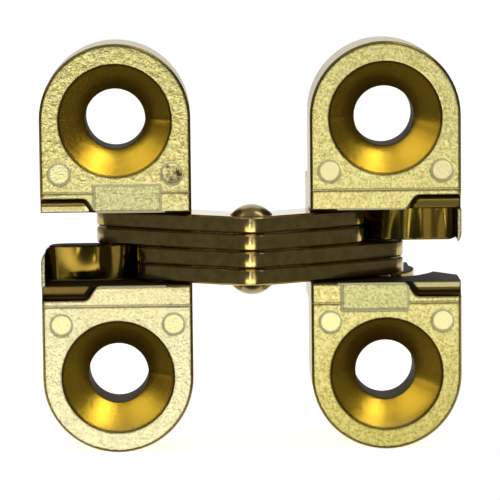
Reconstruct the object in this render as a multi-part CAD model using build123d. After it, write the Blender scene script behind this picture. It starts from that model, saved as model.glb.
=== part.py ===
from build123d import *
import os
from math import atan2, cos, degrees, radians, sin, tan

# Small invisible (concealed) barrel hinge: two identical leaf castings joined by a scissor of stamped links.
# Millimetres. +Z runs along the hinge axis and +Y into the mortise, so the faces look along -Y.
# The hinge is drawn open to 180 degrees. Depths are counted from the faces, and at the end everything is
# moved so that the origin lies between the frame leaf's two screws, on the plane its screw ends bear on.
# The door leaf is the same casting, turned half a turn about the line through the rivet that runs along Y.

# Leaf casting
LEAF_WIDTH = 9.25  # across the face
LEAF_HEIGHT = 25.2  # along the hinge axis, over the round ends
END_DEPTH = 5.0  # of the two screw ends
BARREL_DEPTH = 10.3  # of the deeper middle
BARREL_HALF = 3.8  # half the height of the deeper middle
BARREL_CORNER = 1.2  # radius of the barrel's two back corners
FACE_EDGE = 0.15  # broken edge round the face
LIP_EDGE = 0.1  # broken edge along the link slot
SLOT_HALF = 2.25  # half the height of the link slot

# Countersunk screw holes
SCREW_SPACING = 15.8
SCREW_BORE = 3.7  # diameter
SINK_MOUTH = 7.0  # diameter of the countersink at the face
SINK_ANGLE = 82.0  # full angle of the countersink

# Marks left on the face by the die
PANEL_LEFT, PANEL_RIGHT = -1.4, 2.8  # bare sunk panel beside the slot
PANEL_HEIGHT = 1.75
PANEL_SINK = 0.12
EJECTOR_X, EJECTOR_Z = 3.45, 4.65  # places of the ejector-pin marks, on each quarter of the face
EJECTOR_RADIUS = 0.7
EJECTOR_SINK = 0.08
SEAM_OFFSET = 1.25  # from the slot's edge to the seam of the die insert
SEAM_WIDTH = 0.1
SEAM_SINK = 0.06
MARK_DRAFT = 45.0  # slope of the walls of the panel and the ejector-pin marks

# Links, all the same stamping
LINK_THICKNESS = 1.03
LINK_GAP = 0.04  # between neighbours in the stack
LINK_HALF_WIDTH = 1.4
LINK_ELBOW = 1.4  # radius inside the elbow
LINK_EDGE = 0.12  # broken edge of the stamping
LINK_SLOPE = 30.0  # of both arms against the faces, when open

# Pins
RIVET_RADIUS = 0.8
RIVET_HEAD_RADIUS = 1.3
RIVET_HEAD_HEIGHT = 0.65
PIVOT_PIN_RADIUS = 0.75
PIVOT_PIN_SEAT = 1.3  # how deep it is pressed into the cheek
SLIDE_PIN_RADIUS = 0.6
TRACK_DEPTH = 1.0  # of the slide pin's track in the cheek
TRACK_EDGE = 3.6  # depth at which the track's open back starts on the leaf's outer side
PIN_CHAMFER = 0.12
PIN_RUNNING_GAP = 0.03  # radial, where a link turns on a pin
PIN_PRESS_GAP = 0.005  # radial, where a pin is fixed
TRACK_GAP = 0.12  # radial, round the slide pin in its track
END_GAP = 0.05  # at the ends of pins and over the cradle

# Linkage, as places on the frame leaf when open
RIVET_X = 8.27
PIVOT_X = 2.6
SLIDE_X = 0.1
CLOSED_GAP = 1.6  # between the two faces when closed
LINK_SWING = 118.0  # turn of a link about its own pivot, from open to closed
LEAF_SWING = 180.0  # turn of the door leaf

# Pocket for the links
SEAT_GAP = 0.2  # between a link and the wall that it swings past
CRADLE_RIM = 0.22  # the thin outer wall of the cradle
CRADLE_FLOOR = 2.9  # depth of its floor
CRADLE_WALL = 1.4  # thickness of its floor
CRADLE_FILLET = 0.7
CRADLE_BEND = 3.5  # radius where the floor turns down to the pivot's seat
CRADLE_CORNER = 1.6  # radius of the outer corner behind
CRADLE_EAR = 0.7  # radius of the rim's top corner, seen from the front
WEB_GAP = 1.0  # between the sliding links' ends and the web
WEB_CORNER = 0.6
NOTCH_HEIGHT = 0.9  # room in the cheeks for the rivet's heads
NOTCH_SLANT = 0.6  # how far the notch's end leans
NOTCH_CORNER = 0.45  # rounds both ends of the leaning end
NOTCH_FILLET = 0.4
NOTCH_GAP = 0.12

# Linkage worked out from the sizes above
FAR = 2 * LEAF_HEIGHT  # longer than any cut needs
HALF_WIDTH = LEAF_WIDTH / 2
PIVOT_ARM = (RIVET_X - PIVOT_X) / cos(radians(LINK_SLOPE))
SLIDE_ARM = (RIVET_X - SLIDE_X) / cos(radians(LINK_SLOPE))
PIVOT_Y = PIVOT_ARM * sin(radians(LINK_SLOPE + LINK_SWING)) - CLOSED_GAP / 2
PIVOT = Vector(PIVOT_X, PIVOT_Y)
SLIDE_SHARE = (LEAF_SWING - LINK_SWING) / LINK_SWING  # turn of the sliding arm per turn of the pivoting arm
WALL_OFFSET = LINK_HALF_WIDTH + SEAT_GAP  # from an arm's centre line to the wall beside it


def turned(degrees_from_x):
    """Unit vector in plan at this angle, counted from +X towards +Y."""
    return Vector(cos(radians(degrees_from_x)), sin(radians(degrees_from_x)))


def rivet_place(share):
    """Rivet's place in plan, seen from the frame leaf, at a share of the way from open to closed."""
    return PIVOT + turned(-LINK_SLOPE - LINK_SWING * share) * PIVOT_ARM


def slide_place(share):
    """Slide pin's place in plan, seen from the frame leaf, at a share of the way from open to closed."""
    arm = turned(-LINK_SLOPE - LINK_SWING * SLIDE_SHARE * share)
    return rivet_place(share) - arm * SLIDE_ARM


RIVET = rivet_place(0)
RIVET_CLOSED = rivet_place(1)
SLIDE_OPEN = slide_place(0)
SLIDE_CLOSED = slide_place(1)
BACK_OF_ARM = turned(90 - LINK_SLOPE)  # from an open arm towards the mortise


def arm_wall_depth(x):
    """Depth of the wall behind the open arms, at this distance across the leaf."""
    start = PIVOT + BACK_OF_ARM * WALL_OFFSET
    return start.Y - (x - start.X) * tan(radians(LINK_SLOPE))


def upright(plan, low, high):
    """Extrudes a plan outline from one height to another."""
    return Pos(Z=low) * extrude(plan, amount=high - low)


def into_face(outline, depth, draft=0.0):
    """Extrudes an outline drawn on the face into the leaf, narrowing by the draft angle."""
    return extrude(Plane.XZ * outline, amount=-depth, taper=draft)


def other_leaf(shape):
    """The same shape on the door leaf."""
    return Pos(X=2 * RIVET_X) * Rot(Y=180) * shape


def leaf_blank():
    """Face plate with its two screw ends, and the deeper barrel behind the middle."""
    plate = into_face(SlotOverall(LEAF_HEIGHT, LEAF_WIDTH, rotation=90), END_DEPTH)
    barrel_plan = Pos(Y=BARREL_DEPTH / 2) * Rectangle(LEAF_WIDTH, BARREL_DEPTH)
    barrel_plan = fillet(barrel_plan.vertices().group_by(Axis.Y)[-1], BARREL_CORNER)
    blank = plate + upright(barrel_plan, -BARREL_HALF, BARREL_HALF)
    outline = blank.faces().sort_by(Axis.Y)[0].edges()
    return chamfer(outline, FACE_EDGE)


def web():
    """Bridge at the inner back corner that joins the two cheeks, clear of both arms and of the slide."""
    chord = SLIDE_CLOSED - SLIDE_OPEN
    side = Vector(chord.Y, -chord.X).normalized() * (LINK_HALF_WIDTH + WEB_GAP)
    along = Line(SLIDE_OPEN + side - chord * 4, SLIDE_CLOSED + side + chord * 4)
    behind = Line((-FAR, arm_wall_depth(-FAR)), (FAR, arm_wall_depth(FAR)))
    corner = along.intersect(behind).vertices()[0].center()
    foot = corner + chord * ((BARREL_DEPTH - corner.Y) / chord.Y)
    plan = make_face(
        Polyline(
            corner,
            (HALF_WIDTH, arm_wall_depth(HALF_WIDTH)),
            (HALF_WIDTH, BARREL_DEPTH),
            (foot.X, BARREL_DEPTH),
            close=True,
        )
    )
    plan = fillet(plan.vertices().group_by(Axis.X)[-1].sort_by(Axis.Y)[-1], BARREL_CORNER)
    plan = fillet(plan.vertices().sort_by_distance(corner)[0], WEB_CORNER)
    return upright(plan, -SLOT_HALF, SLOT_HALF)


def cradle_floor_turn():
    """Where the flat floor gives way to the slope that clears a closed link's back edge."""
    closed_arm = turned(-LINK_SLOPE - LINK_SWING)
    foot = PIVOT + Vector(closed_arm.Y, -closed_arm.X) * WALL_OFFSET
    return foot, foot + closed_arm * ((CRADLE_FLOOR - foot.Y) / closed_arm.Y)


def cradle():
    """Floor under the links that pivot on this leaf: a thin dish with a round seat for their ends."""
    foot, turn = cradle_floor_turn()
    seat_end = PIVOT + BACK_OF_ARM * WALL_OFFSET
    middle = (foot + seat_end) * 0.5 - PIVOT
    rim_x = -HALF_WIDTH + CRADLE_RIM
    under = CRADLE_FLOOR + CRADLE_WALL
    slope = (foot - turn).normalized()
    back_turn = turn + Vector(-slope.Y, slope.X) * CRADLE_WALL
    back_turn += slope * ((under - back_turn.Y) / slope.Y)
    back_end = back_turn + slope * ((BARREL_DEPTH - BARREL_CORNER - back_turn.Y) / slope.Y)
    wall = [
        Line(seat_end, (HALF_WIDTH, arm_wall_depth(HALF_WIDTH))),
        Line((HALF_WIDTH, arm_wall_depth(HALF_WIDTH)), (HALF_WIDTH, back_end.Y)),
        Polyline((HALF_WIDTH, back_end.Y), back_end, back_turn, (-HALF_WIDTH, under), (-HALF_WIDTH, 0)),
        Polyline((-HALF_WIDTH, 0), (rim_x, 0), (rim_x, CRADLE_FLOOR), turn, foot),
        ThreePointArc(foot, PIVOT + middle.normalized() * WALL_OFFSET, seat_end),
    ]
    plan = make_face(wall)
    plan = fillet(plan.vertices().sort_by_distance((rim_x, CRADLE_FLOOR))[0], CRADLE_FILLET)
    plan = fillet(plan.vertices().sort_by_distance(turn)[0], CRADLE_BEND)
    plan = fillet(plan.vertices().sort_by_distance((-HALF_WIDTH, under))[0], CRADLE_CORNER)
    return upright(plan, -SLOT_HALF, -END_GAP) - cradle_ear()


def cradle_ear():
    """Waste outside the rounded top corner of the cradle's rim."""
    square = Pos(-HALF_WIDTH, -END_GAP) * Rectangle(2 * CRADLE_EAR, 2 * CRADLE_EAR)
    kept = Pos(-HALF_WIDTH + CRADLE_EAR, -END_GAP - CRADLE_EAR) * Circle(CRADLE_EAR)
    return into_face(square - kept, CRADLE_FLOOR + CRADLE_WALL)


def screw_holes():
    """Cutters for both countersunk holes."""
    sink_depth = (SINK_MOUTH - SCREW_BORE) / 2 / tan(radians(SINK_ANGLE / 2))
    slope = (SINK_MOUTH - SCREW_BORE) / 2 / sink_depth
    above = FACE_EDGE  # the cutter starts a little in front of the face
    profile = Polyline(
        (0, -above),
        (SINK_MOUTH / 2 + above * slope, -above),
        (SCREW_BORE / 2, sink_depth),
        (SCREW_BORE / 2, END_DEPTH + above),
        (0, END_DEPTH + above),
        close=True,
    )
    cutter = revolve(make_face(profile), Axis.Y)
    return [Pos(Z=side * SCREW_SPACING / 2) * cutter for side in (-1, 1)]


def slide_track():
    """Track in the cheek for the slide pin: a curved front wall, open to the back, where the pin enters."""
    width = 2 * (SLIDE_PIN_RADIUS + TRACK_GAP)
    stops = [slide_place(n / 4) for n in range(5)]
    behind = BARREL_DEPTH + width
    flank = stops[3] - Vector(-HALF_WIDTH, TRACK_EDGE)
    outer = stops[3] - flank * 2
    way_in = Vector(SLIDE_CLOSED.X, behind)
    relief = Polyline(stops[3], outer, (outer.X, behind), way_in, SLIDE_CLOSED, close=True)
    plan = Sketch() + [
        SlotArc(ThreePointArc(*stops[0:3]), width),
        SlotArc(ThreePointArc(*stops[2:5]), width),
        make_face(relief),
        SlotArc(Line(SLIDE_CLOSED, way_in), width),
    ]
    return upright(plan, SLOT_HALF - END_GAP, SLOT_HALF + TRACK_DEPTH)


def pivot_bore():
    """Blind hole in the other cheek for the pivot pin."""
    plan = Pos(PIVOT) * Circle(PIVOT_PIN_RADIUS + PIN_PRESS_GAP)
    return upright(plan, -SLOT_HALF - PIVOT_PIN_SEAT, -SLOT_HALF + END_GAP)


def head_notches():
    """Sunk corners in both cheeks, with a leaning end, for the rivet's heads when the hinge is closed."""
    right = RIVET_CLOSED.X + RIVET_HEAD_RADIUS + NOTCH_GAP
    depth = RIVET_CLOSED.Y + RIVET_HEAD_RADIUS + NOTCH_GAP
    left = -HALF_WIDTH - depth
    foot = (right + NOTCH_SLANT / 2, 0)
    head = (right - NOTCH_SLANT / 2, NOTCH_HEIGHT)
    into_slot = -SLOT_HALF
    outline = make_face(
        Polyline(
            (left, into_slot),
            (HALF_WIDTH, into_slot),
            (HALF_WIDTH, 0),
            foot,
            head,
            (left, NOTCH_HEIGHT),
            close=True,
        )
    )
    outline = fillet([outline.vertices().sort_by_distance(end)[0] for end in (foot, head)], NOTCH_CORNER)
    cut = Pos(Y=-depth) * into_face(outline, 2 * depth)
    far_edges = cut.faces().sort_by(Axis.Y)[-1].edges()
    inner = far_edges.filter_by(Axis.X).sort_by(Axis.Z)[-1:]
    cut = fillet(inner, NOTCH_FILLET)
    upper = Pos(Z=SLOT_HALF) * cut
    return [upper, mirror(upper, Plane.XY)]


def face_marks():
    """Bare panel, ejector-pin marks and the seams of the die insert, all shallow."""
    panel = Pos((PANEL_LEFT + PANEL_RIGHT) / 2, SLOT_HALF + PANEL_HEIGHT / 2)
    panel *= Rectangle(PANEL_RIGHT - PANEL_LEFT, PANEL_HEIGHT)
    marks = [into_face(panel, PANEL_SINK, MARK_DRAFT)]
    for side_z in (-1, 1):
        seam = Pos(Y=side_z * (SLOT_HALF + SEAM_OFFSET)) * Rectangle(LEAF_WIDTH, SEAM_WIDTH)
        marks.append(into_face(seam, SEAM_SINK))
        for side_x in (-1, 1):
            mark = Pos(side_x * EJECTOR_X, side_z * EJECTOR_Z) * Circle(EJECTOR_RADIUS)
            marks.append(into_face(mark, EJECTOR_SINK, MARK_DRAFT))
    return marks


def slotted_blank():
    """The blank cut in two by the link slot, with the slot's edges broken."""
    blank = leaf_blank() - upright(Rectangle(FAR, FAR), -SLOT_HALF, SLOT_HALF)
    front = blank.edges().filter_by(Axis.X).group_by(Axis.Y)[0]
    lips = [edge for edge in front if abs(abs(edge.center().Z) - SLOT_HALF) < LIP_EDGE]
    return chamfer(lips, LIP_EDGE)


def leaf_casting():
    """One leaf, cast in one piece."""
    leaf = slotted_blank()
    for cut in head_notches():
        leaf = leaf - cut
    leaf = leaf + web() + cradle()
    for cut in (*screw_holes(), slide_track(), pivot_bore(), *face_marks()):
        leaf = leaf - cut
    return leaf


def link(layer):
    """Stamped dog-leg link of the pair that pivots on the frame leaf; layer 0 is next to the middle."""
    slide_far = Vector(2 * RIVET_X - SLIDE_OPEN.X, SLIDE_OPEN.Y)
    plan = SlotArc(Polyline(PIVOT, RIVET, slide_far).wire(), 2 * LINK_HALF_WIDTH)
    elbow = RIVET + Vector(0, LINK_HALF_WIDTH / cos(radians(LINK_SLOPE)))
    plan = fillet(plan.vertices().sort_by_distance(elbow)[0], LINK_ELBOW)
    top = -LINK_GAP / 2 - layer * (LINK_THICKNESS + LINK_GAP)
    blank = upright(plan, top - LINK_THICKNESS, top)
    flat_faces = blank.faces().filter_by(Axis.Z)
    blank = chamfer(flat_faces.edges(), LINK_EDGE)
    holes = [
        (PIVOT, PIVOT_PIN_RADIUS + PIN_RUNNING_GAP),
        (RIVET, RIVET_RADIUS + PIN_RUNNING_GAP),
        (slide_far, SLIDE_PIN_RADIUS + PIN_PRESS_GAP),
    ]
    for place, radius in holes:
        blank = blank - upright(Pos(place) * Circle(radius), top - FAR, top + FAR)
    return blank


def pin(place, radius, low, high):
    """Plain pin with chamfered ends."""
    body = upright(Pos(place) * Circle(radius), low, high)
    return chamfer(body.edges().filter_by(GeomType.CIRCLE), PIN_CHAMFER)


def pivot_pin():
    """Pressed into the frame leaf's cheek, flush with the innermost of its links."""
    return pin(PIVOT, PIVOT_PIN_RADIUS, -SLOT_HALF - PIVOT_PIN_SEAT + END_GAP, -END_GAP)


def slide_pin():
    """Fixed in the ends of the door leaf's links, with its tip in the frame leaf's track."""
    return pin(SLIDE_OPEN, SLIDE_PIN_RADIUS, END_GAP, SLOT_HALF + TRACK_DEPTH - END_GAP)


def rivet():
    """Middle rivet through all four links, with a domed head at each end."""
    stack_half = 2 * LINK_THICKNESS + 2 * LINK_GAP
    crown = (0, stack_half + RIVET_HEAD_HEIGHT)
    rim = (RIVET_HEAD_RADIUS, stack_half)
    sphere = (RIVET_HEAD_RADIUS**2 + RIVET_HEAD_HEIGHT**2) / 2 / RIVET_HEAD_HEIGHT
    half_angle = degrees(atan2(RIVET_HEAD_RADIUS, sphere - RIVET_HEAD_HEIGHT)) / 2
    centre = stack_half + RIVET_HEAD_HEIGHT - sphere
    shoulder = (sphere * sin(radians(half_angle)), centre + sphere * cos(radians(half_angle)))
    profile = make_face(
        [
            Polyline((0, 0), (RIVET_RADIUS, 0), (RIVET_RADIUS, stack_half), rim),
            ThreePointArc(rim, shoulder, crown),
            Line(crown, (0, 0)),
        ]
    )
    half = revolve(Plane.XZ * profile, Axis.Z)
    return Pos(RIVET) * (half + mirror(half, Plane.XY))


def pieces():
    """Every piece of the hinge by name, in place on the open hinge, with depths counted from the faces."""
    casting = leaf_casting()
    made = {
        "frame_leaf_casting": casting,
        "door_leaf_casting": other_leaf(casting),
        "frame_pivot_pin": pivot_pin(),
        "door_pivot_pin": other_leaf(pivot_pin()),
        "frame_slide_pin": slide_pin(),
        "door_slide_pin": other_leaf(slide_pin()),
        "center_rivet": rivet(),
    }
    for layer, place in enumerate(("inner", "outer")):
        made[f"frame_link_{place}"] = link(layer)
        made[f"door_link_{place}"] = other_leaf(link(layer))
    return made


os.makedirs("parts", exist_ok=True)
for name, piece in pieces().items():
    export_step(Pos(Y=-END_DEPTH) * piece, f"parts/{name}.step")
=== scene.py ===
import math

import bmesh
import bpy
from mathutils import Matrix, Vector


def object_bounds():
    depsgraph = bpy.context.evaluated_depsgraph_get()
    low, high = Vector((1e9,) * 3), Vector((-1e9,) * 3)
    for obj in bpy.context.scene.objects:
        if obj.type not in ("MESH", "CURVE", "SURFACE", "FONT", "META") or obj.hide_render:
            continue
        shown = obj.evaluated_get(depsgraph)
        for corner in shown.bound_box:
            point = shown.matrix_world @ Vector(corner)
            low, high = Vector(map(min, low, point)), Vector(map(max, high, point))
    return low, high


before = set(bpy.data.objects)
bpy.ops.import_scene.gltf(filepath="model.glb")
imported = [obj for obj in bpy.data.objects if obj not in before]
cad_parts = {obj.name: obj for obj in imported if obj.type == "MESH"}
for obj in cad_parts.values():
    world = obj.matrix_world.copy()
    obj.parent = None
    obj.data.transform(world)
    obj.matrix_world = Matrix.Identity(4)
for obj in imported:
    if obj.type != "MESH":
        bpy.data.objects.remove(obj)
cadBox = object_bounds()
scene = bpy.context.scene
scene.view_settings.view_transform = "Standard"
mm = 0.001
print("frame loaded:", len(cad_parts), "nodes")


def linear(hexColour):  # sRGB hex to the linear colour that the shaders take
    parts = [int(hexColour[i : i + 2], 16) / 255 for i in (0, 2, 4)]
    return [c / 12.92 if c <= 0.04045 else ((c + 0.055) / 1.055) ** 2.4 for c in parts] + [1.0]


# One node, its settings and what feeds it: a socket, or a node that gives its first output.
# A Mix node takes its share at 0, numbers at 2 and 3 or colours at 6 and 7, and gives a colour at output 2.
def addNode(tree, kind, settings=None, links=None):
    node = tree.nodes.new("ShaderNode" + kind)
    for key, value in (settings or {}).items():
        if key == "stops":  # a colour ramp's two places and hex colours
            for stop, (place, hexColour) in zip(node.color_ramp.elements, value):
                stop.position, stop.color = place, linear(hexColour)
        elif isinstance(key, int) or key in node.inputs:
            node.inputs[key].default_value = value
        else:
            setattr(node, key, value)
    for key, source in (links or {}).items():
        socket = source if isinstance(source, bpy.types.NodeSocket) else source.outputs[0]
        tree.links.new(socket, node.inputs[key])
    return node


def newMaterial(name):
    material = bpy.data.materials.new(name)
    material.use_nodes = True
    material.node_tree.nodes.clear()
    return material, material.node_tree


# Lacquered brass plate on a zinc die casting. The tumbled faces are pale satin with a fine sparkling grain,
# their broken edges and outer walls are duller, the ejector-pin marks are flat and bright, and the slot and
# the countersinks keep the smooth skin of the die, wavy in the slot, so they mirror in warm streaks.
castPlate = {
    "face": "f4ea9f",
    "faceDark": "c6b566",  # between the grains
    "rubbed": "f7f1cf",  # painted light: the frame leaf's lower end is drawn paler
    "rubbedMm": (5.0, -6.0),  # heights from which and to which it fades in
    "rubbedShare": 0.5,
    "shadeTint": "d2cfb0",  # painted shade: tints the door leaf's lower end darker
    "shadeTintMm": (-2.0, -12.0),  # heights from which and to which this fades in
    "panel": "e5eef7",  # tints the floor of the sunk panel
    "mark": "f4ebac",
    "stain": "4c4226",  # one mark of the frame leaf is stained
    "rim": "efe6b0",  # lacquer in the corners of the marks and the panel
    "edge": "9a8743",  # the broken edge round the face
    "wall": "b29b49",
    "wallDark": "a28c3f",
    "hollow": "e6cf74",  # the countersinks
    "bore": "5e4c12",  # painted shade inside the screw holes, which also stands in for the thin plate there
    "slot": "685620",
    "ledge": "40351a",  # painted shade on the level floors of the slot
    # painted shade in the notches
    "notch": "574720",
    "notchHighlight": "a89f70",  # painted highlight on the floor of the notch beside the panel, along the slot
    "grainMm": 0.13,  # drawn coarser than the real 0.05 mm tumbling grain, so that it shows
    "grainDetail": 2.0,
    "grainBreak": 0.6,
    "grainStops": (0.34, 0.58),
    "grainDeepMm": 0.03,
    "grainFrame": 0.85,  # how strong the grain is on the frame leaf
    "grainDoor": 0.35,
    "stainMm": 0.45,
    "stainDetail": 3.0,
    "stainStops": (0.4, 0.62),
    "wallStops": (0.35, 0.65),
    "unevenMm": 0.07,  # depth of the broad dips between the grain
    "waveMm": 1.6,
    "waveDetail": 0.0,
    "waveScale": (1.0, 1.0, 0.4),  # the waves in the slot are longer upright
    "waveDeepMm": 0.6,
    "softEdgeMm": 0.18,  # how far the plated edges look rounded
    "softEdgeRays": 8,
    "faceRough": 0.42,
    "wallRough": 0.24,
    "hollowRough": 0.16,
    "boreRough": 0.7,
    "squareTurn": -0.96,  # a normal's Y, at most, on what lies parallel to the face
    "levelTurn": 0.9,  # a normal's Z, up or down, at least, on the floors of the slot
    "faceDeepMm": -4.84,  # the face, its marks and its broken edge lie in front of this
    "panelDeepMm": -4.9,  # between the floor of the panel and the shallower marks
    "hollowDeepMm": -3.0,  # the countersinks and the notches lie in front of this
    "slotDeepMm": (3.0, 0.5),  # depths from which and to which the slot's wavy skin fades in
    "slotHalfMm": 2.2,  # half heights, from the leaf's middle
    "ledgeHalfMm": 2.3,
    "notchHighlightHalfMm": 2.62,
    "notchHalfMm": 3.2,  # the notches for the rivet's heads, above and below the slot
    "doorMm": 16.54,  # the door leaf's middle along X: the frame leaf's is at 0
    "screwMm": (0.0, 7.9, 3.6),  # place of a countersink from its leaf's middle, and its radius
    "boreMm": (0.0, 7.9, 1.88),  # the same for its bore
    "markMm": (3.45, 4.65, 0.64),  # the same for an ejector-pin mark
    "rimMm": (3.45, 4.65, 0.8),  # and for the mark with its rim
    "panelMm": (3.0, 4.2),  # reach of the sunk panel and the seam, across and along the leaf
}


def leafZones(tree, coords):  # shares, mostly 0 or 1, that say where on a leaf a point lies
    x, y, z = addNode(tree, "SeparateXYZ", links={0: coords.outputs["Object"]}).outputs
    facing = addNode(tree, "SeparateXYZ", links={0: coords.outputs["Normal"]})
    upright = addNode(tree, "Math", {"operation": "ABSOLUTE"}, {0: facing.outputs["Z"]})

    # Distances from a leaf's middle, the same on all four quarters of both leaves
    height = addNode(tree, "Math", {"operation": "ABSOLUTE"}, {0: z})
    fromFrame = addNode(tree, "Math", {"operation": "ABSOLUTE"}, {0: x})
    toDoor = addNode(tree, "Math", {"operation": "SUBTRACT", 1: castPlate["doorMm"] * mm}, {0: x})
    fromDoor = addNode(tree, "Math", {"operation": "ABSOLUTE"}, {0: toDoor})
    across = addNode(tree, "Math", {"operation": "MINIMUM"}, {0: fromFrame, 1: fromDoor})
    quarter = addNode(tree, "CombineXYZ", links={"X": across, "Y": height})

    zone = {}
    for name in ("screw", "bore", "mark", "rim"):
        side, up, radius = [size * mm for size in castPlate[name + "Mm"]]
        reach = addNode(tree, "VectorMath", {"operation": "DISTANCE", 1: (side, up, 0)}, {0: quarter})
        within = {"operation": "LESS_THAN", 1: radius}
        zone[name] = addNode(tree, "Math", within, {0: reach.outputs["Value"]})
    for name in ("slot", "ledge", "notchHighlight", "notch"):
        within = {"operation": "LESS_THAN", 1: castPlate[name + "HalfMm"] * mm}
        zone[name] = addNode(tree, "Math", within, {0: height})
    tests = (
        ("narrow", across, "LESS_THAN", castPlate["panelMm"][0] * mm),
        ("low", height, "LESS_THAN", castPlate["panelMm"][1] * mm),
        ("front", y, "LESS_THAN", castPlate["faceDeepMm"] * mm),
        ("deep", y, "GREATER_THAN", castPlate["panelDeepMm"] * mm),
        ("shallow", y, "LESS_THAN", castPlate["hollowDeepMm"] * mm),
        ("right", x, "GREATER_THAN", 0.0),
        ("above", z, "GREATER_THAN", 0.0),
        ("square", facing.outputs["Y"], "LESS_THAN", castPlate["squareTurn"]),
        ("level", upright, "GREATER_THAN", castPlate["levelTurn"]),
    )
    for name, source, operation, limit in tests:
        zone[name] = addNode(tree, "Math", {"operation": operation, 1: limit}, {0: source})
    zone["onFrame"] = addNode(tree, "Math", {"operation": "LESS_THAN"}, {0: fromFrame, 1: fromDoor})
    zone["onDoor"] = addNode(tree, "Math", {"operation": "SUBTRACT", 0: 1.0}, {1: zone["onFrame"]})

    fades = (  # the share at the first place is 0, and at the second the most
        ("inside", y, castPlate["slotDeepMm"], 1.0),
        # painted light on the frame leaf's lower end and painted shade on the door leaf's, both fading in by
        # height
        ("rubbed", z, castPlate["rubbedMm"], castPlate["rubbedShare"]),
        ("shadeTinted", z, castPlate["shadeTintMm"], 1.0),
    )
    for name, source, (start, end), most in fades:
        settings = {"From Min": start * mm, "From Max": end * mm, "To Max": most}
        zone[name] = addNode(tree, "MapRange", settings, {"Value": source})

    pairs = (  # both shares, either, the first without the second, or whether they are alike
        ("screw", "MULTIPLY", "screw", "shallow"),
        ("notch", "MULTIPLY", "notch", "shallow"),
        ("slot", "MULTIPLY", "slot", "inside"),
        ("hollow", "MAXIMUM", "slot", "screw"),
        ("ledge", "MULTIPLY", "level", "ledge"),
        # where shade is painted: on the level floors of the slot and in the screw holes
        ("shadePainted", "MAXIMUM", "ledge", "bore"),
        ("face", "MULTIPLY", "square", "front"),
        ("disc", "MULTIPLY", "face", "mark"),
        ("panelFloor", "MULTIPLY", "face", "deep"),
        # the painted light only on the frame leaf, the painted shade only on the door leaf
        ("rubbed", "MULTIPLY", "rubbed", "onFrame"),
        ("shadeTinted", "MULTIPLY", "shadeTinted", "onDoor"),
        ("corner", "MULTIPLY", "right", "above"),
        ("stained", "MULTIPLY", "corner", "onFrame"),
        ("besidePanel", "COMPARE", "onFrame", "above"),  # above on the frame leaf, below on the door leaf
        # a painted highlight on the notch floor that faces front, along the slot
        ("notchHighlight", "MULTIPLY", "notchHighlight", "square"),
        ("notchHighlight", "MULTIPLY", "notchHighlight", "besidePanel"),
        ("notchHighlight", "MULTIPLY", "notchHighlight", "shallow"),
        ("panel", "MULTIPLY", "low", "narrow"),
        ("smooth", "MAXIMUM", "panel", "mark"),
        ("sunk", "MAXIMUM", "panel", "rim"),
        ("sloping", "SUBTRACT", "front", "face"),
        ("filled", "MULTIPLY", "sloping", "sunk"),
        ("dulled", "MAXIMUM", "filled", "shadePainted"),
    )
    for name, operation, first, second in pairs:
        zone[name] = addNode(tree, "Math", {"operation": operation}, {0: zone[first], 1: zone[second]})
    return zone


def castColour(tree, zone, grain, blots):
    ramps = {}
    for name, source, stops, colours in (
        ("satin", grain, "grainStops", ("faceDark", "face")),
        ("stain", blots, "stainStops", ("stain", "face")),
        ("skin", blots, "wallStops", ("wallDark", "wall")),
    ):
        pairs = [(place, castPlate[colour]) for place, colour in zip(castPlate[stops], colours)]
        ramps[name] = addNode(tree, "ValToRGB", {"stops": pairs}, {0: source})
    satin = ramps["satin"].outputs[0]
    for share, tint, blend in (
        # painted light on the frame leaf's lower end, painted shade on the door leaf's, and the panel's tint
        ("rubbed", "rubbed", "MIX"),
        ("shadeTinted", "shadeTint", "MULTIPLY"),
        ("panelFloor", "panel", "MULTIPLY"),
    ):
        settings = {"data_type": "RGBA", "blend_type": blend, 7: linear(castPlate[tint])}
        satin = addNode(tree, "Mix", settings, {0: zone[share], 6: satin}).outputs[2]
    settings = {"data_type": "RGBA", 6: linear(castPlate["mark"])}
    disc = addNode(tree, "Mix", settings, {0: zone["stained"], 7: ramps["stain"]}).outputs[2]

    layers = (  # each colour covers the ones before it where its share is 1
        ("screw", linear(castPlate["hollow"])),
        # the screw holes, the notches and the level floors of the slot take painted shade, and a strip of the
        # notch floor along the slot a painted highlight
        ("bore", linear(castPlate["bore"])),
        ("notch", linear(castPlate["notch"])),
        ("slot", linear(castPlate["slot"])),
        ("ledge", linear(castPlate["ledge"])),
        ("notchHighlight", linear(castPlate["notchHighlight"])),
        ("front", linear(castPlate["edge"])),
        ("face", satin),
        ("disc", disc),
        ("filled", linear(castPlate["rim"])),
    )
    colour = ramps["skin"].outputs[0]
    for share, top in layers:
        settings, links = {"data_type": "RGBA"}, {0: zone[share], 6: colour}
        (settings if isinstance(top, list) else links)[7] = top
        colour = addNode(tree, "Mix", settings, links).outputs[2]
    return colour


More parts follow.
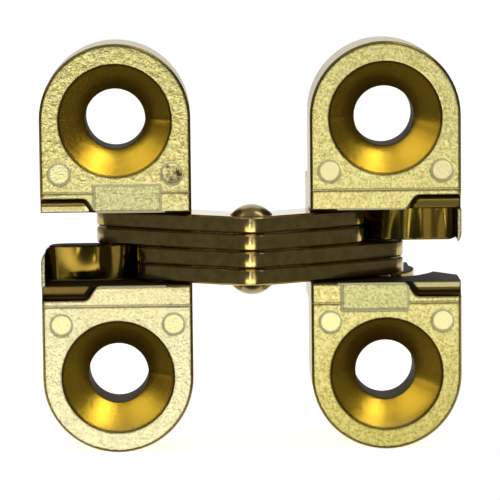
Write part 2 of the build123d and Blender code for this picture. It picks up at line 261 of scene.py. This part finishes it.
def castNormal(tree, coords, zone, grain, blots):
    settings = {"samples": castPlate["softEdgeRays"], "Radius": castPlate["softEdgeMm"] * mm}
    softened = addNode(tree, "Bevel", settings)
    stretched = addNode(
        tree, "Mapping", {"Scale": castPlate["waveScale"]}, {"Vector": coords.outputs["Object"]}
    )
    settings = {"Scale": 1 / (castPlate["waveMm"] * mm), "Detail": castPlate["waveDetail"]}
    wave = addNode(tree, "TexNoise", settings, {"Vector": stretched})
    grainGain = castPlate["grainFrame"] - castPlate["grainDoor"]
    settings = {"operation": "MULTIPLY_ADD", 1: grainGain, 2: castPlate["grainDoor"]}
    coarse = addNode(tree, "Math", settings, {0: zone["onFrame"]})
    grainShare = addNode(tree, "Math", {"operation": "MULTIPLY"}, {0: zone["face"], 1: coarse})
    rest = addNode(tree, "Math", {"operation": "SUBTRACT", 0: 1.0}, {1: zone["smooth"]})
    unevenShare = addNode(tree, "Math", {"operation": "MULTIPLY"}, {0: grainShare, 1: rest})
    normal = softened
    for deep, share, height in (
        ("waveDeepMm", zone["slot"], wave),
        ("unevenMm", unevenShare, blots),
        ("grainDeepMm", grainShare, grain),
    ):
        links = {"Strength": share, "Height": height, "Normal": normal}
        normal = addNode(tree, "Bump", {"Distance": castPlate[deep] * mm}, links)
    return normal


def castBrassMaterial():
    material, tree = newMaterial("castBrassPlate")
    coords = addNode(tree, "TexCoord")
    zone = leafZones(tree, coords)
    settings = {
        "Scale": 1 / (castPlate["grainMm"] * mm),
        "Detail": castPlate["grainDetail"],
        "Roughness": castPlate["grainBreak"],
    }
    grain = addNode(tree, "TexNoise", settings, {"Vector": coords.outputs["Object"]})
    settings = {"Scale": 1 / (castPlate["stainMm"] * mm), "Detail": castPlate["stainDetail"]}
    blots = addNode(tree, "TexNoise", settings, {"Vector": coords.outputs["Object"]})

    settings = {"data_type": "FLOAT", 2: castPlate["wallRough"], 3: castPlate["hollowRough"]}
    rough = addNode(tree, "Mix", settings, {0: zone["hollow"]})
    for share, value in (("shadePainted", "boreRough"), ("face", "faceRough")):
        settings = {"data_type": "FLOAT", 3: castPlate[value]}
        rough = addNode(tree, "Mix", settings, {0: zone[share], 2: rough})
    # neither the painted shade nor the lacquer in the corners is metal
    bare = addNode(tree, "Math", {"operation": "SUBTRACT", 0: 1.0}, {1: zone["dulled"]})
    shader = addNode(
        tree,
        "BsdfPrincipled",
        links={
            "Base Color": castColour(tree, zone, grain, blots),
            "Metallic": bare,
            "Roughness": rough,
            "Normal": castNormal(tree, coords, zone, grain, blots),
        },
    )
    addNode(tree, "OutputMaterial", links={"Surface": shader})
    return material


# Lacquered brass plate on stamped steel: smooth and even, so the sloping edges mirror the dark room
linkPlate = {
    "base": "bda457",
    "dull": "a68c45",
    "rough": 0.22,
    "coat": 1.0,
    "coatRough": 0.08,
    "streakMm": 0.6,
    "streakDetail": 3.0,
    "streakStops": (0.35, 0.65),
    "streakShare": 0.03,
    "streakDeepMm": 0.05,
    "stepMm": 1.07,  # from one link of the stack to the next
    "roundMm": 0.22,  # how much the tumbled edges round across one step
}
rivetPlate = {**linkPlate, "base": "9c8543", "dull": "866f34", "roundMm": 0.0}  # darker, with no steps


def smoothBrassMaterial(name, plate):
    material, tree = newMaterial(name)
    coords = addNode(tree, "TexCoord")
    settings = {"Scale": 1 / (plate["streakMm"] * mm), "Detail": plate["streakDetail"]}
    streaks = addNode(tree, "TexNoise", settings, {"Vector": coords.outputs["Object"]})
    stops = zip(plate["streakStops"], (plate["dull"], plate["base"]))
    tone = addNode(tree, "ValToRGB", {"stops": stops}, {0: streaks})

    # Each link's edge is a low crown, highest in the middle of its step
    place = addNode(tree, "SeparateXYZ", links={0: coords.outputs["Object"]})
    settings = {"operation": "DIVIDE", 1: plate["stepMm"] * mm}
    steps = addNode(tree, "Math", settings, {0: place.outputs["Z"]})
    within = addNode(tree, "Math", {"operation": "FRACT"}, {0: steps})
    offMiddle = addNode(tree, "Math", {"operation": "SUBTRACT", 1: 0.5}, {0: within})  # from mid-step
    crown = addNode(tree, "Math", {"operation": "MULTIPLY"}, {0: offMiddle, 1: offMiddle})
    settings = {"invert": True, "Distance": plate["roundMm"] * mm}
    rounded = addNode(tree, "Bump", settings, {"Height": crown})
    settings = {"Strength": plate["streakShare"], "Distance": plate["streakDeepMm"] * mm}
    bump = addNode(tree, "Bump", settings, {"Height": streaks, "Normal": rounded})
    shader = addNode(
        tree,
        "BsdfPrincipled",
        {
            "Metallic": 1.0,
            "Roughness": plate["rough"],
            "Coat Weight": plate["coat"],
            "Coat Roughness": plate["coatRough"],
        },
        {"Base Color": tone, "Normal": bump},
    )
    addNode(tree, "OutputMaterial", links={"Surface": shader})
    return material


# Drawn steel wire, cut and chamfered: a plain grey metal with a soft sheen
pinSteel = {"base": "b4b2ac", "rough": 0.3}


def pinSteelMaterial():
    material, tree = newMaterial("drawnSteel")
    settings = {"Metallic": 1.0, "Base Color": linear(pinSteel["base"]), "Roughness": pinSteel["rough"]}
    shader = addNode(tree, "BsdfPrincipled", settings)
    addNode(tree, "OutputMaterial", links={"Surface": shader})
    return material


castBrass = castBrassMaterial()
linkBrass = smoothBrassMaterial("stampedBrassPlate", linkPlate)
rivetBrass = smoothBrassMaterial("headedBrassPlate", rivetPlate)
steel = pinSteelMaterial()
finishes = {"casting": castBrass, "pin": steel, "rivet": rivetBrass, "inner": linkBrass, "outer": linkBrass}
for name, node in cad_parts.items():
    node.data.materials[0] = finishes[name.split("_")[-1]]  # the last word says what the piece is
print("finishes set")

# Camera: in front of the faces, a few degrees above them, with the photograph's slight roll
view = {
    "aimMm": (8.18, -5.0, -0.12),
    "distanceMm": 213.0,
    "riseDeg": 6.75,
    "swingDeg": -1.08,
    "rollDeg": -0.6,
    "pxPerMm": 16.315,  # at the faces
    "widthPx": 500,
    "sensorMm": 36.0,
    "clipM": (0.001, 10.0),
}


def addCamera():
    camera = bpy.data.cameras.new("photoCamera")
    camera.sensor_width = view["sensorMm"]
    camera.lens = view["pxPerMm"] * view["distanceMm"] / view["widthPx"] * camera.sensor_width
    camera.clip_start, camera.clip_end = view["clipM"]
    holder = bpy.data.objects.new("photoCamera", camera)
    scene.collection.objects.link(holder)
    rise, swing = math.radians(view["riseDeg"]), math.radians(view["swingDeg"])
    back = Vector((math.sin(swing) * math.cos(rise), -math.cos(swing) * math.cos(rise), math.sin(rise)))
    roll = Matrix.Rotation(math.radians(view["rollDeg"]), 3, "Z")
    turn = (-back).to_track_quat("-Z", "Y").to_matrix() @ roll
    place = (Vector(view["aimMm"]) + back * view["distanceMm"]) * mm
    holder.matrix_world = Matrix.Translation(place) @ turn.to_4x4()
    scene.camera = holder


# Studio: a white card behind the hinge, a dim room around it, and a white floor under it
studio = {
    "front": 0.062,  # how light the room is behind the camera
    "sides": 0.115,
    "overhead": 0.4,
    "fill": 0.3,  # what dull surfaces gather from all round
    "cardBehind": (0.45, 0.6),  # how far back a direction points where the card begins and where it is full
    "cardAside": (0.4, 0.25),  # the same, to the side
    "roomAside": (0.35, 0.75),  # from the front of the room to its sides
    "roomAbove": (0.6, 0.95),  # and to what is overhead
    "white": (1, 1, 1, 1),
    "floorGlow": 0.82,
    "floorTone": "f2f1ec",
    "floorMm": (-160, 180, -4.9, 420),  # left, right, near and far edges
}


def addWorld():
    world = bpy.data.worlds.new("studio")
    scene.world = world
    world.use_nodes = True
    tree = world.node_tree
    tree.nodes.clear()
    ray = addNode(tree, "LightPath")
    coords = addNode(tree, "TexCoord")
    towards = addNode(tree, "SeparateXYZ", links={0: coords.outputs["Generated"]})
    aside = addNode(tree, "Math", {"operation": "ABSOLUTE"}, {0: towards.outputs["X"]})
    parts = {}
    for name, source, places, least, most in (
        ("behind", towards.outputs["Y"], "cardBehind", 0.0, 1.0),
        ("within", aside, "cardAside", 0.0, 1.0),
        ("room", aside, "roomAside", studio["front"], studio["sides"]),
        ("above", towards.outputs["Z"], "roomAbove", 0.0, studio["overhead"]),
    ):
        start, end = studio[places]
        settings = {"From Min": start, "From Max": end, "To Min": least, "To Max": most}
        parts[name] = addNode(tree, "MapRange", settings, {"Value": source})
    card = addNode(tree, "Math", {"operation": "MULTIPLY"}, {0: parts["behind"], 1: parts["within"]})
    lit = addNode(tree, "Math", {"operation": "MAXIMUM"}, {0: parts["room"], 1: parts["above"]})
    sweep = addNode(tree, "MapRange", {"To Max": 1.0}, {"Value": card, "To Min": lit})
    mirrored = addNode(
        tree,
        "Math",
        {"operation": "MAXIMUM"},
        {0: ray.outputs["Is Glossy Ray"], 1: ray.outputs["Is Transmission Ray"]},
    )
    level = addNode(tree, "Mix", {"data_type": "FLOAT", 2: studio["fill"]}, {0: mirrored, 3: sweep})
    shown = addNode(tree, "Math", {"operation": "MAXIMUM"}, {0: level, 1: ray.outputs["Is Camera Ray"]})
    sky = addNode(tree, "Background", {"Color": studio["white"]}, {"Strength": shown})
    addNode(tree, "OutputWorld", links={0: sky})


def floorMaterial():  # white paper that takes a shadow, and glows for all but the dull surfaces
    material, tree = newMaterial("whiteFloor")
    ray = addNode(tree, "LightPath")
    settings = {"operation": "SUBTRACT", 0: 1.0, "use_clamp": True}
    seen = addNode(tree, "Math", settings, {1: ray.outputs["Is Diffuse Ray"]})
    glow = addNode(tree, "Math", {"operation": "MULTIPLY", 1: studio["floorGlow"]}, {0: seen})
    paper = addNode(tree, "BsdfDiffuse", {"Color": linear(studio["floorTone"])})
    light = addNode(tree, "Emission", {"Color": studio["white"]}, {"Strength": glow})
    both = addNode(tree, "AddShader", links={0: paper, 1: light})
    addNode(tree, "OutputMaterial", links={"Surface": both})
    return material


def addFloor():
    left, right, near, far = [edge * mm for edge in studio["floorMm"]]
    mesh = bpy.data.meshes.new("floor")
    shape = bmesh.new()
    bmesh.ops.create_grid(shape, x_segments=1, y_segments=1, size=0.5)  # 1 m each way, then scaled
    bmesh.ops.scale(shape, vec=(right - left, far - near, 1), verts=shape.verts)
    middle = Vector(((left + right) / 2, (near + far) / 2, cadBox[0].z))
    bmesh.ops.translate(shape, vec=middle, verts=shape.verts)
    shape.to_mesh(mesh)
    shape.free()
    mesh.materials.append(floorMaterial())
    floor = bpy.data.objects.new("floor", mesh)
    scene.collection.objects.link(floor)


# The low box lights the faces, the left and right lamps put the bright patches in the countersinks, the front
# lamp lifts the upper faces, and the top lamps, whose first size lies along Y, light what faces up.
lamps = {
    "lowBox": {"placeMm": (-22, -216, -70), "sizeMm": (190, 38), "watts": 0.13},
    "leftLamp": {"placeMm": (-25, -216, -27), "sizeMm": (34, 14), "watts": 0.014},
    "rightLamp": {"placeMm": (45, -216, -13), "sizeMm": (50, 46), "watts": 0.01},
    "frontLamp": {"placeMm": (4, -228, 30), "sizeMm": (40, 40), "watts": 0.006},
    "topLeft": {"placeMm": (-90, 6, 95), "sizeMm": (20, 120), "watts": 0.0075},
    "topRight": {"placeMm": (75, 6, 125), "sizeMm": (20, 85), "watts": 0.018},
}


def addLamp(name, lamp):  # a soft box, aimed at the point that the camera looks at
    light = bpy.data.lights.new(name, "AREA")
    light.shape = "RECTANGLE"
    light.size, light.size_y = [side * mm for side in lamp["sizeMm"]]
    light.energy = lamp["watts"]
    holder = bpy.data.objects.new(name, light)
    place = Vector(lamp["placeMm"])
    aim = (Vector(view["aimMm"]) - place).to_track_quat("-Z", "Y")
    holder.matrix_world = Matrix.Translation(place * mm) @ aim.to_matrix().to_4x4()
    scene.collection.objects.link(holder)


addCamera()
addWorld()
addFloor()
for name, lamp in lamps.items():
    addLamp(name, lamp)
print("camera, floor and lights set")
